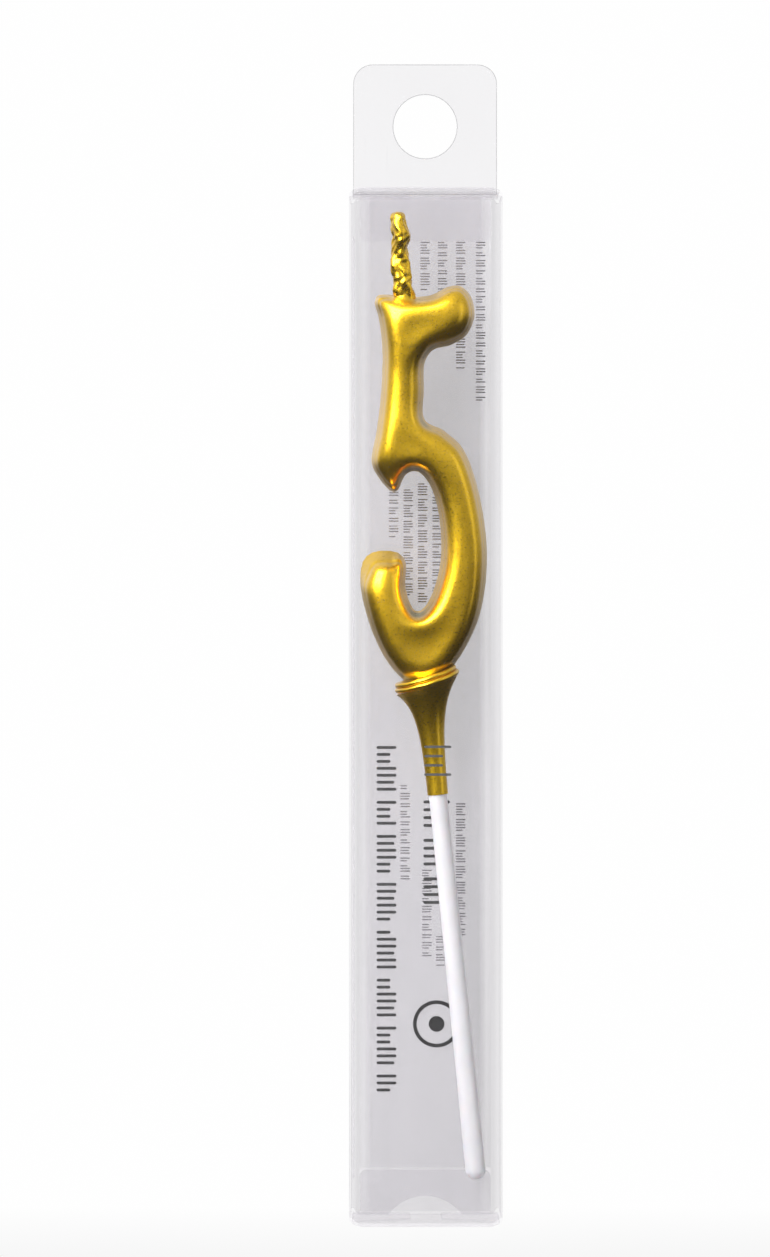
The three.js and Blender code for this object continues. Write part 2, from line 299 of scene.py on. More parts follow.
class Nodes:
    """Short calls for building the node tree of one material, or of the world."""

    def __init__(self, owner, output="ShaderNodeOutputMaterial"):
        owner.use_nodes = True
        self.owner = owner
        self.tree = owner.node_tree
        self.tree.nodes.clear()
        self.out = self.add(output)

    def add(self, kind, **settings):
        node = self.tree.nodes.new(kind)
        for key, value in settings.items():
            setattr(node, key, value)
        return node

    def link(self, source, target):
        self.tree.links.new(source, target)

    def feed(self, socket, value):
        """Gives a socket a plain value, or the output of another node."""
        if isinstance(value, (int, float, tuple)):
            socket.default_value = value
        else:
            self.link(value, socket)

    def finish(self, surface):
        self.link(surface, self.out.inputs["Surface"])
        return self.owner

    def position(self):
        return self.add("ShaderNodeTexCoord").outputs["Object"]

    def split(self, vector):
        node = self.add("ShaderNodeSeparateXYZ")
        self.link(vector, node.inputs["Vector"])
        return node.outputs

    def noise(self, scale, detail=3.0, roughness=0.5, stretch=None):
        node = self.add("ShaderNodeTexNoise")
        for name, value in (("Scale", scale), ("Detail", detail), ("Roughness", roughness)):
            node.inputs[name].default_value = value
        source = self.position()
        if stretch:
            mapping = self.add("ShaderNodeMapping")
            mapping.inputs["Scale"].default_value = stretch
            self.link(source, mapping.inputs["Vector"])
            source = mapping.outputs["Vector"]
        self.link(source, node.inputs["Vector"])
        return node.outputs["Fac"]

    def span(self, source, low_in, high_in, low, high, **settings):
        node = self.add("ShaderNodeMapRange", **settings)
        values = {"From Min": low_in, "From Max": high_in, "To Min": low, "To Max": high}
        for name, value in values.items():
            node.inputs[name].default_value = value
        self.link(source, node.inputs["Value"])
        return node.outputs["Result"]

    def math(self, operation, a, b):
        node = self.add("ShaderNodeMath", operation=operation)
        for socket, value in zip(node.inputs, (a, b)):
            self.feed(socket, value)
        return node.outputs["Value"]

    def ramp(self, source, *stops):
        node = self.add("ShaderNodeValToRGB")
        elements = node.color_ramp.elements
        while len(elements) < len(stops):
            elements.new(0.5)
        for element, (place, colour) in zip(elements, stops):
            element.position = place
            element.color = (*colour, 1)
        self.link(source, node.inputs["Fac"])
        return node.outputs["Color"]

    def tinted(self, colour, tint, amount):
        """A colour multiplied by a tint, as far as amount says."""
        node = self.add("ShaderNodeMix", data_type="RGBA", blend_type="MULTIPLY")
        for name, value in (("Factor", amount), ("A", colour), ("B", tint)):
            self.feed(node.inputs[name], value)
        return node.outputs["Result"]

    def bump(self, source, strength, distance, under=None):
        node = self.add("ShaderNodeBump")
        node.inputs["Strength"].default_value = strength
        node.inputs["Distance"].default_value = distance
        self.link(source, node.inputs["Height"])
        if under is not None:
            self.link(under, node.inputs["Normal"])
        return node.outputs["Normal"]

    def principled(self, **values):
        node = self.add("ShaderNodeBsdfPrincipled")
        for name, value in values.items():
            self.feed(node.inputs[name.replace("_", " ")], value)
        return node.outputs["BSDF"]

    def mixed(self, share, first, second):
        """Two surfaces in one: all first where share is 0, all second where it is 1."""
        node = self.add("ShaderNodeMixShader")
        for socket, source in zip(node.inputs, (share, first, second)):
            self.link(source, socket)
        return node.outputs["Shader"]


def material_nodes(name):
    return Nodes(bpy.data.materials.new(name))


def gold(name, low_rough, high_rough, grain):
    """Satin metallic lacquer on wax: fine flake grain, slight colour drift, a thin clear coat.

    A value stored on the mesh darkens its colour in deep corners: painted shade.
    """
    nodes = material_nodes(name)
    drift = nodes.noise(140.0, 3.0)
    flakes = nodes.noise(2800.0, 4.0, 0.78)
    waves = nodes.noise(420.0, 2.0)
    colour = nodes.ramp(drift, (0.3, (0.9, 0.555, 0.007)), (0.7, (0.97, 0.62, 0.013)))
    speckle = nodes.ramp(flakes, (0.36, (0.7, 0.68, 0.5)), (0.62, (1.0, 1.0, 1.0)))
    colour = nodes.tinted(colour, speckle, 0.5)
    # Painted shade: a darker, less orange colour in the numeral's deep corners
    painted_shade = nodes.add("ShaderNodeAttribute", attribute_name="painted_shade")
    colour = nodes.tinted(colour, (0.27, 0.38, 0.6, 1), painted_shade.outputs["Fac"])
    rough = nodes.span(flakes, 0.3, 0.7, low_rough, high_rough)
    normal = nodes.bump(flakes, grain, 0.00004, nodes.bump(waves, 0.12, 0.0003))
    return nodes.finish(nodes.principled(
        Base_Color=colour, Metallic=1.0, Roughness=rough, Normal=normal,
        Coat_Weight=0.6, Coat_Roughness=0.22,
    ))


def white_plastic():
    """Moulded white stick: faint cloudiness, a fine skin texture and a soft gloss."""
    nodes = material_nodes("white_plastic")
    cloud = nodes.noise(240.0, 3.0)
    skin = nodes.noise(2600.0, 3.0)
    colour = nodes.ramp(cloud, (0.3, (0.52, 0.515, 0.53)), (0.7, (0.56, 0.555, 0.57)))
    rough = nodes.span(skin, 0.3, 0.7, 0.32, 0.46)
    normal = nodes.bump(skin, 0.12, 0.0001)
    return nodes.finish(nodes.principled(
        Base_Color=colour, Roughness=rough, Normal=normal, Subsurface_Weight=0.15, Subsurface_Scale=0.001,
    ))


def film(name, low, high, shade, thin=0.6, rim=1.6, foot=1.0, edge=1.0):
    """Clear film with rub marks. Its density drifts between low and high, and shade is how grey it is.

    thin is its density seen at a slant, rim at a grazing angle, foot behind the lower tuck flap and
    edge by the side folds, each as a share of the rest.
    """
    nodes = material_nodes(name)
    haze = nodes.noise(60.0, 4.0, 0.6, (1.0, 1.0, 0.35))
    rubs = nodes.noise(900.0, 4.0, 0.7, (1.0, 1.0, 0.06))
    waves = nodes.noise(95.0, 2.0, 0.5, (1.0, 1.0, 0.4))
    layer = nodes.add("ShaderNodeLayerWeight")
    layer.inputs["Blend"].default_value = 0.5
    facing = layer.outputs["Facing"]
    plain, thinned = (1.0,) * 3, (thin,) * 3
    slant = nodes.ramp(facing, (0.0, plain), (0.3, thinned), (0.85, thinned), (1.0, plain))
    grazing = nodes.span(facing, 0.88, 1.0, 1.0, rim)
    density = nodes.span(haze, 0.3, 0.7, low, high)
    density = nodes.math("MULTIPLY", density, nodes.math("MULTIPLY", slant, grazing))
    place = nodes.split(nodes.position())
    tuck_top = TUCK_LENGTH * MM
    above_tuck = nodes.span(place["Z"], tuck_top, tuck_top + TUCK_FADE * MM, foot, 1.0)
    inner = (HALF_WIDTH - EDGE_BAND) * MM
    out = nodes.math("ABSOLUTE", place["X"], 0.0)
    by_fold = nodes.span(out, inner, inner + EDGE_FADE * MM, 1.0, edge)
    density = nodes.math("MULTIPLY", nodes.math("MULTIPLY", density, above_tuck), by_fold)
    share = nodes.math("ADD", density, nodes.span(rubs, 0.62, 0.8, 0.0, 0.035))
    colour = nodes.ramp(haze, (0.3, (shade * 0.97, shade * 0.93, shade * 1.0)),
                        (0.7, (shade * 1.05, shade * 1.02, shade * 1.08)))
    rough = nodes.span(rubs, 0.3, 0.8, 0.07, 0.2)
    normal = nodes.bump(waves, 0.35, 0.0012)
    clear = nodes.add("ShaderNodeBsdfTransparent")
    clear.inputs["Color"].default_value = (0.998, 0.995, 1.0, 1)
    solid = nodes.principled(Base_Color=colour, Roughness=rough, Normal=normal, IOR=1.35)
    return nodes.finish(nodes.mixed(share, clear.outputs["BSDF"], solid))


def ink(name, low, high):
    """Dark print on the film, slightly worn."""
    nodes = material_nodes(name)
    wear = nodes.noise(1800.0, 3.0)
    colour = nodes.ramp(wear, (0.35, (low, low * 0.98, low)), (0.7, (high, high * 0.98, high)))
    rough = nodes.span(wear, 0.3, 0.7, 0.5, 0.7)
    return nodes.finish(nodes.principled(Base_Color=colour, Roughness=rough))


GOLD = gold("gold_coating", 0.25, 0.36, 0.35)
GOLD_WICK = gold("gold_wick", 0.2, 0.34, 0.5)
WHITE = white_plastic()
CUT_FILM = film("film_cut_edge", 0.10, 0.15, 0.35, thin=1.0)
TAB_EDGE = film("film_tab_edge", 0.26, 0.34, 0.12, thin=1.0)
BACK_FILM = film("clear_film_back", 0.27, 0.32, 0.32, foot=0.5, edge=0.45)
WALL_FILM = [film("clear_film_wall", 0.082, 0.10, 0.015), CUT_FILM, BACK_FILM]
TAB_FILM = [film("clear_film_tab", 0.05, 0.065, 0.06), TAB_EDGE]
FLAP_FILM = [film("clear_film_flap", 0.012, 0.03, 0.1, thin=0.8, rim=2.0), CUT_FILM]
LID_FILM = [film("clear_film_lid", 0.11, 0.15, 0.3, thin=0.9), CUT_FILM]
TUCK_FILM = [film("clear_film_tuck", 0.12, 0.15, 0.3, thin=0.9), CUT_FILM]
DARK_INK = ink("dark_ink", 0.01, 0.025)
HEADING_INK = ink("heading_ink", 0.02, 0.04)
PALE_INK = ink("pale_ink", 0.01, 0.03)


# ---------------------------------------------------------------- numeral


def closed_curve(points, samples):
    """Centripetal Catmull-Rom curve through points, closed on itself."""
    points = np.asarray(points, float)
    before, after, later = (np.roll(points, k, 0) for k in (1, -1, -2))
    d0, d1, d2 = (
        np.linalg.norm(b - a, axis=1)[:, None] ** 0.5
        for a, b in ((before, points), (points, after), (after, later))
    )
    t1 = d1 * ((points - before) / d0 - (after - before) / (d0 + d1) + (after - points) / d1)
    t2 = d1 * ((after - points) / d1 - (later - points) / (d1 + d2) + (later - after) / d2)
    rows = []
    for k in range(samples):
        s = k / samples
        rows.append(
            points + t1 * s + (3 * (after - points) - 2 * t1 - t2) * s**2
            + (2 * (points - after) + t1 + t2) * s**3
        )
    return np.stack(rows, 1).reshape(-1, 2)


def number_outline():
    """Outline of a plump numeral, clockwise from its top left, in shares of width and height."""
    points = [
        [0.13, 0.972], [0.22, 0.978], [0.39, 0.972], [0.56, 0.977], [0.70, 0.998], [0.80, 0.997],
        [0.885, 0.962], [0.90, 0.925], [0.85, 0.882], [0.72, 0.852], [0.56, 0.835], [0.505, 0.800],
        [0.505, 0.740], [0.50, 0.675], [0.66, 0.640], [0.82, 0.590], [0.915, 0.510], [0.975, 0.420],
        [1.0, 0.340], [0.99, 0.260], [0.94, 0.175], [0.81, 0.085], [0.66, 0.025], [0.545, 0.0],
        [0.43, 0.003], [0.31, 0.025], [0.17, 0.085], [0.055, 0.175], [0.0, 0.262], [0.012, 0.308],
        [0.075, 0.334], [0.20, 0.342], [0.31, 0.334], [0.365, 0.308], [0.36, 0.250], [0.43, 0.192],
        [0.52, 0.205], [0.60, 0.265], [0.635, 0.330], [0.62, 0.425], [0.56, 0.495], [0.46, 0.535],
        [0.36, 0.528], [0.30, 0.490], [0.25, 0.487], [0.15, 0.520], [0.09, 0.562], [0.13, 0.640],
        [0.165, 0.735], [0.175, 0.840], [0.145, 0.920], [0.115, 0.955],
    ]
    curve = closed_curve(points, 6)
    across = (curve[:, 0] - 0.5) * NUMBER_WIDTH + NUMBER_SHIFT
    return np.stack([across, curve[:, 1] * NUMBER_HEIGHT - NUMBER_SEAT_DEPTH], 1)


def inside_distance(outline, xs, zs):
    """Signed distance to the outline on a grid, positive inside it."""
    a = outline
    b = np.roll(outline, -1, 0)
    step = b - a
    length = (step**2).sum(1)
    made = np.zeros((len(xs), len(zs)))
    for i, x in enumerate(xs):
        p = np.stack([np.full(len(zs), x), zs], 1)[:, None, :]
        t = np.clip(((p - a) * step).sum(2) / length, 0, 1)
        near = a + t[..., None] * step
        distance = np.sqrt(((p - near) ** 2).sum(2)).min(1)
        above = (a[:, 1] > zs[:, None]) != (b[:, 1] > zs[:, None])
        rise = np.where(step[:, 1] == 0, 1e-9, step[:, 1])
        crossing = a[:, 0] + (zs[:, None] - a[:, 1]) * step[:, 0] / rise
        inside = (above & (x < crossing)).sum(1) % 2 == 1
        made[i] = np.where(inside, distance, -distance)
    return made


def swelling(distance, step):
    """Height of a skin blown up over the outline: it solves a stretched membrane on the grid."""
    inside = distance > 0
    start = 0.5 * distance * (2 * STROKE_HALF_WIDTH - distance)
    u = np.where(inside, start, STROKE_HALF_WIDTH * distance)
    for _ in range(500):
        around = np.roll(u, 1, 0) + np.roll(u, -1, 0) + np.roll(u, 1, 1) + np.roll(u, -1, 1)
        u = np.where(inside, (around + step * step) / 4, u)
    return 2 * u


def surface_net(field, origin, step):
    """Points and quads of the surface where field is zero, one point per cell that it crosses."""
    solid = field > 0
    cells = np.array(field.shape) - 1
    total = np.zeros((*cells, 3))
    count = np.zeros(cells)
    corners = [(i, j, k) for i in (0, 1) for j in (0, 1) for k in (0, 1)]

    def at(array, corner):
        i, j, k = corner
        return array[i:i + cells[0], j:j + cells[1], k:k + cells[2]]

    for corner in corners:
        for axis in range(3):
            if corner[axis]:
                continue
            other = tuple(c + (n == axis) for n, c in enumerate(corner))
            crossed = at(solid, corner) != at(solid, other)
            a, b = at(field, corner), at(field, other)
            share = np.where(crossed, a / np.where(crossed, a - b, 1), 0)
            for n in range(3):
                place = corner[n] + (share if n == axis else 0)
                total[..., n] += np.where(crossed, place, 0)
            count += crossed
    used = count > 0
    number = np.full(cells, -1)
    number[used] = np.arange(used.sum())
    points = (np.argwhere(used) + total[used] / count[used][:, None]) * step + origin
    faces = []
    for axis in range(3):
        b, c = [n for n in range(3) if n != axis]
        low = [slice(None)] * 3
        high = [slice(None)] * 3
        low[axis], high[axis] = slice(0, -1), slice(1, None)
        crossed = np.argwhere(solid[tuple(low)] != solid[tuple(high)])
        crossed = crossed[(crossed[:, b] > 0) & (crossed[:, c] > 0)
                          & (crossed[:, b] < cells[b]) & (crossed[:, c] < cells[c])]
        ring = []
        for move_b, move_c in ((-1, -1), (0, -1), (0, 0), (-1, 0)):
            cell = crossed.copy()
            cell[:, b] += move_b
            cell[:, c] += move_c
            ring.append(number[cell[:, 0], cell[:, 1], cell[:, 2]])
        faces.append(np.stack(ring, 1))
    return points, np.concatenate(faces)


def corner_shade_amount(solid, cells):
    """How enclosed each point is, by the solid share around it: 0 in the open, 1 in a deep corner. It is
    how much painted shade the gold gets there.
    """
    reach = int(PAINTED_SHADE_REACH / NUMBER_VOXEL)
    share = np.pad(solid.astype(float), reach + 1)
    for axis in range(3):
        total = np.cumsum(share, axis)
        share = (np.roll(total, -reach, axis) - np.roll(total, reach + 1, axis)) / (2 * reach + 1)
    i, j, k = (cells + 0.5).astype(int).T + reach + 1
    return smoothstep(0.5, 0.7, share[i, j, k])


def relaxed(points, faces, rounds):
    """Evens out a net of quads without shrinking it."""
    edges = np.concatenate([faces[:, [k, (k + 1) % 4]] for k in range(4)])
    edges = np.unique(np.sort(edges, 1), axis=0)
    degree = np.bincount(edges.ravel(), minlength=len(points))[:, None]
    for _ in range(rounds):
        for weight in (0.6, -0.61):
            total = np.zeros_like(points)
            for n in range(3):
                total[:, n] = (np.bincount(edges[:, 0], points[edges[:, 1], n], len(points))
                               + np.bincount(edges[:, 1], points[edges[:, 0], n], len(points)))
            points = points + weight * (total / degree - points)
    return points


def number_body():
    """Moulded numeral: flat back, drafted walls, a puffed face and a mound of wax round the wick.

    It is the zero surface of a field in mm, positive inside, over x, the distance t from the back, and z.
    """
    step = NUMBER_VOXEL
    outline = number_outline()
    low = outline.min(0) - 3 * step
    high = outline.max(0) + (3 * step, 3.0)
    xs = np.arange(low[0], high[0], step)
    zs = np.arange(low[1], high[1], step)
    ts = np.arange(-3 * step, NUMBER_THICKNESS + 4 * step, step)
    distance = inside_distance(outline, xs, zs)
    end_x = NUMBER_SHIFT + BOWL_END_ACROSS * NUMBER_WIDTH
    end_z = BOWL_END_UP * NUMBER_HEIGHT - NUMBER_SEAT_DEPTH
    near_end = 1 - smoothstep(*END_SIDES, abs(xs[:, None] - end_x))
    near_end = near_end * smoothstep(end_z - END_BELOW[1], end_z - END_BELOW[0], zs[None, :])
    near_end = near_end * (zs[None, :] < end_z + END_ABOVE)
    draft = WALL_DRAFT + END_DRAFT * near_end
    swell = swelling(distance - draft, step) / STROKE_HALF_WIDTH**2
    swell = swell / np.sqrt(1 + FACE_FLATTENING * np.maximum(swell, 0) ** 4)
    d = distance[:, None, :]
    t = ts[None, :, None]
    wall = d - draft[:, None, :] * t / WALL_HEIGHT
    rise = np.maximum(t - WALL_HEIGHT, 0) / (NUMBER_THICKNESS - WALL_HEIGHT)
    top = FACE_STEEPNESS * (swell[:, None, :] - rise ** (1 / FACE_ROUNDNESS))
    top = top + np.maximum(WALL_HEIGHT - t, 0)
    field = smooth_min(smooth_min(wall, top, RIM_ROUNDING), t + 0 * d, BACK_ROUNDING)
    x = xs[:, None, None]
    z = zs[None, None, :]
    y = NUMBER_THICKNESS / 2 - t
    foot = np.array([NUMBER_SHIFT + WICK_ACROSS, 0, WICK_FOOT_UP])
    up = turn_y(-WICK_LEAN) @ np.array([0, 0, 1])
    along = np.clip((x - foot[0]) * up[0] + (z - foot[2]) * up[2], *WICK_MOUND_SPAN)
    away = np.sqrt((x - foot[0] - along * up[0]) ** 2 + y**2 + (z - foot[2] - along * up[2]) ** 2)
    mound = WICK_MOUND_RADIUS - WICK_MOUND_TAPER * along - away
    field = smooth_max(field, mound, WICK_MOUND_BLEND)
    axis = turn_y(-COLLAR_LEAN) @ np.array([0, 0, 1])
    over_collar = x * axis[0] + z * axis[2]
    field = np.minimum(field, over_collar - COLLAR_HEIGHT / 4 + 0 * field)
    # The collar below the cut counts as solid when the painted shade in corners is measured
    below = (over_collar < COLLAR_HEIGHT / 2) & (np.hypot(x * axis[2] - z * axis[0], y) < COLLAR_RADIUS)
    origin = np.array([xs[0], ts[0], zs[0]])
    points, faces = surface_net(field, origin, step)
    # Painted shade for deep corners, stored on the mesh below for the gold to read
    painted_shade = corner_shade_amount((field > 0) | below, (points - origin) / step)
    points[:, 1] = NUMBER_THICKNESS / 2 - points[:, 1]
    points = relaxed(points, faces, 30)
    piece = add_piece("number", placed(points, CANDLE, COLLAR_CENTRE), faces, [GOLD], sharp=80)
    piece.data.attributes.new("painted_shade", "FLOAT", "POINT").data.foreach_set("value", painted_shade)
    return piece


def collar_ring():
    """Two round beads, one above the other, pressed slightly out of true."""
    bead = BEAD_RADIUS
    profile = [(COLLAR_CORE_RADIUS, -2 * bead)]
    for centre, out in ((-bead, 0.0), (bead, -UPPER_BEAD_INSET)):
        for k in range(11):
            angle = -math.pi / 2 + math.pi * k / 10
            radius = COLLAR_RADIUS + out - bead + bead * math.cos(angle)
            profile.append((radius, centre + bead * math.sin(angle)))
    profile.append((COLLAR_CORE_RADIUS, 2 * bead))

    def wobble(r, z, angles):
        on_bead = r > COLLAR_CORE_RADIUS
        r = r + 0.06 * on_bead * np.sin(3 * angles + 0.4) + 0.04 * on_bead * np.sin(7 * angles)
        return r, z + 0.07 * np.sin(2 * angles + 1.1) + 0.03 * np.sin(9 * angles)

    points, faces = turned(profile, 120, wobble)
    return add_piece("collar", placed(points, COLLAR, COLLAR_CENTRE), faces, [GOLD], sharp=60)


def flared_neck():
    """Trumpet-shaped neck, its top cut to the tilt of the collar. Its profile runs by share of length."""
    tilt = math.tan(COLLAR_LEAN - STICK_LEAN)
    profile = []
    for k in range(41):
        share = (k / 40) ** 1.4
        flare = NECK_FLARE * math.exp(-share * NECK_LENGTH / NECK_FLARE_DROP)
        profile.append((NECK_END_RADIUS + flare, share))
    profile.append((NECK_END_RADIUS - NECK_ROUNDING, 1.004))
    profile.append((NECK_CORE_RADIUS, 1.004))

    def wobble(r, share, angles):
        top = tilt * r * np.cos(angles) - COLLAR_HEIGHT / 2
        z = top * (1 - share) - NECK_LENGTH * share
        r = r * (1 + 0.012 * np.sin(2 * angles + 5 * share))
        return r, z

    points, faces = turned(profile, 72, wobble)
    return add_piece("neck", placed(points, STICK, COLLAR_CENTRE), faces, [GOLD], sharp=50)


def candle_stick():
    """White moulded stick with a domed foot, going up inside the neck."""
    top = -NECK_LENGTH + STICK_INSIDE_NECK
    foot = -NECK_LENGTH - STICK_LENGTH
    end = STICK_END_RADIUS
    profile = [(0.02, foot)]
    for k in range(1, 13):
        angle = k * math.pi / 24
        profile.append((end * math.sin(angle), foot + end * (1 - math.cos(angle))))
    for k in range(1, 41):
        share = k / 40
        radius = end + (STICK_TOP_RADIUS - end) * share
        profile.append((radius, foot + end + (top - foot - end) * share))
    profile.append((STICK_CORE_RADIUS, top))

    def wobble(r, z, angles):
        return r * (1 + 0.008 * np.sin(0.31 * z + 2 * angles)), z

    points, faces = turned(profile, 64, wobble)
    return add_piece("white_stick", placed(points, STICK, COLLAR_CENTRE), faces, [WHITE], sharp=50)


def candle_wick():
    """Wick dipped in lacquer: slightly twisted and bent, with lumps all over and a blunt tip."""
    rows, sides = 110, 40
    angles = round_angles(sides)
    points = []
    for k in range(rows + 1):
        share = k / rows
        up = share * (WICK_LENGTH + WICK_SUNK) - WICK_SUNK
        twist = up * 0.16 + 0.4 * math.sin(0.8 * up)
        lobes = 0.08 * np.cos(2 * (angles - twist)) + 0.09 * np.cos(3 * (angles + 0.7 * twist) + 1.0)
        lobes = lobes + 0.035 * np.cos(7 * (angles - 0.5 * twist) + 2.0 * math.sin(1.1 * up))
        lump = 0.06 * np.sin(2.0 * up + 2 * angles) * np.sin(0.8 * up + angles)
        lump = 0.04 * np.sin(1.3 * up + 0.7) + lump
        lump = lump + 0.02 * np.sin(3.7 * up - 3 * angles + 1.3 * np.sin(1.9 * up))
        tip = math.sqrt(max(0.0, 1 - max(0.0, (share - 0.93) / 0.07) ** 2)) * 0.97 + 0.03
        slim = 1.18 - 0.14 * share ** 0.7
        radius = WICK_RADIUS * slim * tip * (0.9 + lobes + lump)
        bend_x = 0.14 * math.sin(0.75 * up) + 0.07 * math.sin(1.9 * up + 1.0)
        bend_y = 0.2 * math.cos(0.9 * up)
        across = [radius * np.cos(angles) + bend_x, radius * np.sin(angles) + bend_y]
        points.append(np.stack([*across, np.full(sides, up)], 1))
    points = placed(np.concatenate(points), WICK, WICK_FOOT)
    return add_piece("braided_wick", points, tube_faces(rows, sides), [GOLD_WICK], sharp=70)


# ---------------------------------------------------------------- case


def wall_wave(x, z):
    """How far a wall of the film stands out of flat, at most a tenth of a millimetre."""
    return 0.06 * np.sin(0.045 * z + 0.8) * np.cos(0.16 * x) + 0.035 * np.sin(0.11 * z + 0.25 * x)


def sleeve_plan():
    """The tube's middle line seen from above: its points, and the outward normal at each."""
    half = np.array([HALF_WIDTH - SHEET / 2, WALL_MIDDLE]) - CORNER_RADIUS
    place, normals = [], []
    corners = ((1, -1, -90), (1, 1, 0), (-1, 1, 90), (-1, -1, 180))
    for (*here, start), (*there, _) in zip(corners, corners[1:] + corners[:1]):
        for k in range(CORNER_STEPS):
            angle = math.radians(start + 90 * k / CORNER_STEPS)
            normal = np.array([math.cos(angle), math.sin(angle)])
            place.append(here * half + CORNER_RADIUS * normal)
            normals.append(normal)
        angle = math.radians(start + 90)
        normal = np.array([math.cos(angle), math.sin(angle)])
        begin = here * half + CORNER_RADIUS * normal
        end = there * half + CORNER_RADIUS * normal
        steps = max(8, int(np.linalg.norm(end - begin) / 0.5))
        for k in range(steps):
            place.append(begin + (end - begin) * k / steps)
            normals.append(normal)
    return np.array(place), np.array(normals)


def sleeve():
    """The four upright walls in one round-cornered tube, with the thumb notch in its back."""
    place, normal = sleeve_plan()
    front = smoothstep(0.6, 0.95, -normal[:, 1])
    back = smoothstep(0.6, 0.95, normal[:, 1])
    side_top, front_top, back_top = SIDE_HIGH[2], FRONT_HIGH[2], BACK_HIGH[2]
    top = side_top + (front_top - side_top) * front + (back_top - side_top) * back
    bottom = CASE_HEIGHT - top
    notch_radius = (NOTCH_HALF_WIDTH**2 + NOTCH_HEIGHT**2) / (2 * NOTCH_HEIGHT)
    reach = np.sqrt(np.maximum(notch_radius**2 - place[:, 0] ** 2, 0)) + NOTCH_HEIGHT - notch_radius
    bottom = np.where(normal[:, 1] > 0.99, np.maximum(bottom, np.maximum(reach, 0)), bottom)
    facing_y = np.abs(normal[:, 1]) > 0.5
    across = np.where(facing_y, place[:, 0], place[:, 1])
    to_corner = np.where(facing_y, HALF_WIDTH - SHEET / 2, WALL_MIDDLE) - CORNER_RADIUS - np.abs(across)
    calm = smoothstep(0, 4, to_corner)
    waving = (np.abs(normal).max(1) > 0.999) * (normal[:, 1] < 0.9)
    rows = 96
    points = []
    for outward in (SHEET / 2, -SHEET / 2):
        for k in range(rows + 1):
            z = bottom + (top - bottom) * k / rows
            free = waving * smoothstep(0, 6, z) * smoothstep(0, 6, CASE_HEIGHT - z)
            out = outward - (wall_wave(across, z) * calm + WALL_INSET) * free
            cut = CUT_EDGE if k in (0, rows) and outward > 0 else 0.0
            z = z + (cut if k == 0 else -cut)
            moved = place + normal * out[:, None]
            points.append(np.column_stack([moved, z]))
    columns = len(place)
    on_back = np.flatnonzero(np.minimum(normal[:, 1], np.roll(normal[:, 1], -1)) > 0.9)
    faces, backs = [], []
    total = (rows + 1) * columns
    for side in (0, 1):
        for k in range(rows):
            a = side * total + k * columns
            backs += (len(faces) + on_back).tolist()
            faces += ring_quads(a, a + columns, columns)
    edges = range(len(faces), len(faces) + 2 * columns)
    for row in (0, rows):
        faces += ring_quads(row * columns, total + row * columns, columns)
    return add_piece("case_sleeve", np.concatenate(points), faces, WALL_FILM, edges, backs)


def subdivided(corners, step):
    """Points along a closed line through corners, about step apart, the corners among them."""
    made = []
    for a, b in zip(corners, corners[1:] + corners[:1]):
        count = max(1, int(np.linalg.norm(b - a) / step))
        made += [a + (b - a) * k / count for k in range(count)]
    return np.array(made)


def rounded_outline(low_u, high_u, low_v, high_v, radii, step=0.6, arc_steps=8):
    """Rectangle with its own radius at each corner: low right, high right, high left and low left."""
    corners = ((high_u, low_v, -90), (high_u, high_v, 0), (low_u, high_v, 90), (low_u, low_v, 180))
    made = []
    for (u, v, start), radius in zip(corners, radii):
        centre = np.array([u - math.copysign(radius, u - (low_u + high_u) / 2),
                           v - math.copysign(radius, v - (low_v + high_v) / 2)])
        for k in range(arc_steps + 1 if radius > 0 else 1):
            angle = math.radians(start + 90 * k / arc_steps)
            made.append(centre + radius * np.array([math.cos(angle), math.sin(angle)]))
    return subdivided(made, step)


def flat_piece(name, outline, place, hole=None, wave=None, rings=10, film_set=FLAP_FILM):
    """Thin sheet of film with a softened cut edge, and perhaps a round hole, given as u, v and radius.

    place turns (u, v, w) into x, y and z, and wave gives how far the sheet stands out of flat.
    """
    middle = np.array(hole[:2]) if hole else (outline.min(0) + outline.max(0)) / 2
    away = outline - middle
    far = np.linalg.norm(away, axis=1)[:, None]
    near = hole[2] * away / far if hole else 0.02 * away
    count = len(outline)
    loops = []
    inner_cut = CUT_EDGE * away / far if hole else 0
    outer_cut = CUT_EDGE * away / far
    for side in (1, -1):
        shares = np.linspace(0, 1, rings + 1)
        for share in (shares if side == 1 else shares[::-1]):
            flat = middle + (near + inner_cut) * (1 - share) + (away - outer_cut) * share
            loops.append((flat, side * SHEET / 2))
        if side == 1:
            loops.append((outline, 0.0))
    if hole:
        loops.append((middle + near, 0.0))
    points = []
    for flat, height in loops:
        bent = height + (wave(flat[:, 0], flat[:, 1]) if wave else 0)
        points.append(place(flat[:, 0], flat[:, 1], np.broadcast_to(bent, count)))
    faces, edges = [], []
    for k in range(len(loops) if hole else len(loops) - 1):
        following = (k + 1) % len(loops)
        if loops[k][1] == 0 or loops[following][1] == 0:
            edges += range(len(faces), len(faces) + count)
        faces += ring_quads(k * count, following * count, count)
    if not hole:
        faces.append(list(range(count)))
        faces.append([(len(loops) - 1) * count + i for i in range(count)])
    return add_piece(name, np.concatenate(points), faces, film_set, edges)


def upright(y):
    return lambda u, v, w: np.stack([u, y + w, v], 1)


def level(z):
    return lambda u, v, w: np.stack([u, v, z + w], 1)


def sideways(x):
    return lambda u, v, w: np.stack([x + w, u, v], 1)


